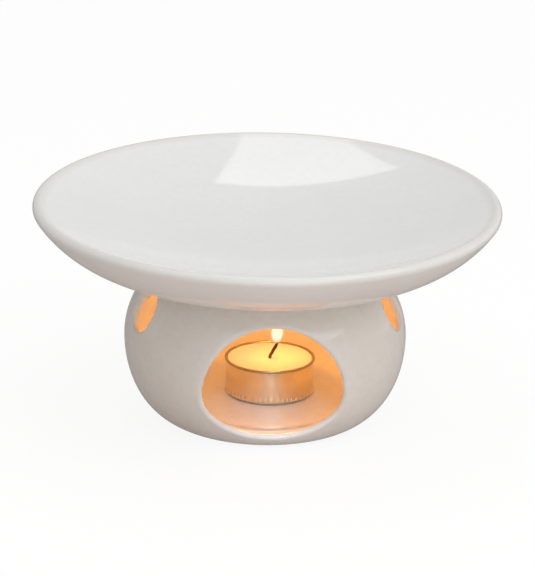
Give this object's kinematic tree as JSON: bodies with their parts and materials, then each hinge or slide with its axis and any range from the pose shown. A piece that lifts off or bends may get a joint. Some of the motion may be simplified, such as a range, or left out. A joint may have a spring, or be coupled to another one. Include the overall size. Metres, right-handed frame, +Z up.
{
  "type": "wax warmer",
  "caption": "Tealight wax warmer: a squashed-globe glazed ceramic burner with a large front opening and shoulder vents, under a wide shallow lift-off dish.",
  "frame": {"origin": "on the table, under the middle of the body and of the dish", "axes": "+Z up; -Y out of the front opening; +X to the right of someone who faces the opening"},
  "size_m": [0.2, 0.2, 0.0963],
  "materials": {
    "body_glaze": "white gloss glaze on a cast ceramic body",
    "dish_glaze": "white gloss glaze on a cast ceramic dish",
    "cup_aluminium": "thin drawn aluminium with a rolled rim",
    "wax": "paraffin wax, lit from above by the flame",
    "sustainer_steel": "thin stamped tin plate",
    "wick_cotton": "braided cotton, charred where it burns"
  },
  "bodies": {
    "burner_body": {"burner_body": "body_glaze"},
    "wax_dish": {"wax_dish": "dish_glaze"},
    "tealight": {"tealight_cup": "cup_aluminium", "tealight_wax": "wax", "wick_sustainer": "sustainer_steel", "wick": "wick_cotton"}
  },
  "joints": [
    {"name": "dish_lift", "type": "slide", "parent": "burner_body", "child": "wax_dish", "axis": [0, 0, 1], "range_m": [0, 0.1]},
    {"name": "tealight_draw", "type": "slide", "parent": "burner_body", "child": "tealight", "axis": [0, -0.9848, 0.1736], "range_m": [0, 0.1]}
  ]
}
